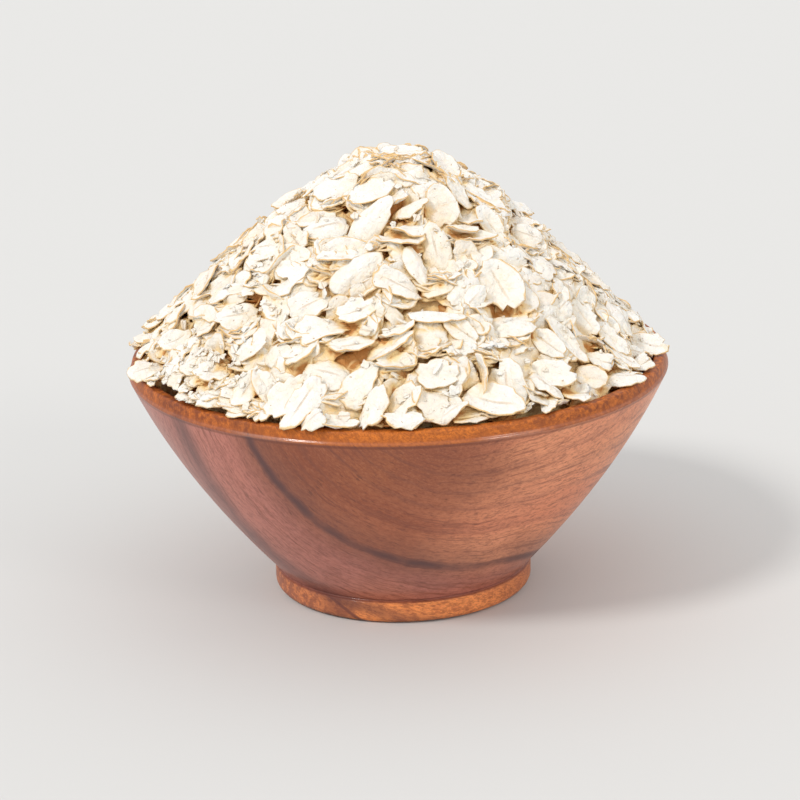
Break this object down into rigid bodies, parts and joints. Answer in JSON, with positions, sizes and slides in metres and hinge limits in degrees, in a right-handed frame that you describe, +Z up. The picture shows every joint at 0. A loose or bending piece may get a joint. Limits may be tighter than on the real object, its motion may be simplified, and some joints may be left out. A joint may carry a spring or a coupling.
{
  "type": "bowl of rolled oats",
  "caption": "Small turned wooden bowl on a short foot, heaped above its rim with rolled oat flakes.",
  "frame": {"origin": "middle of the foot's flat underside, on the table", "axes": "+Z up along the bowl's turning axis, -Y towards the side that the picture shows, +X to the right as seen there"},
  "size_m": [0.1141, 0.114, 0.0961],
  "materials": {
    "turned_wood": "satin",
    "rolled_oats": "matte"
  },
  "bodies": {
    "root": {"bowl": "turned_wood", "oats": "rolled_oats"}
  },
  "joints": []
}
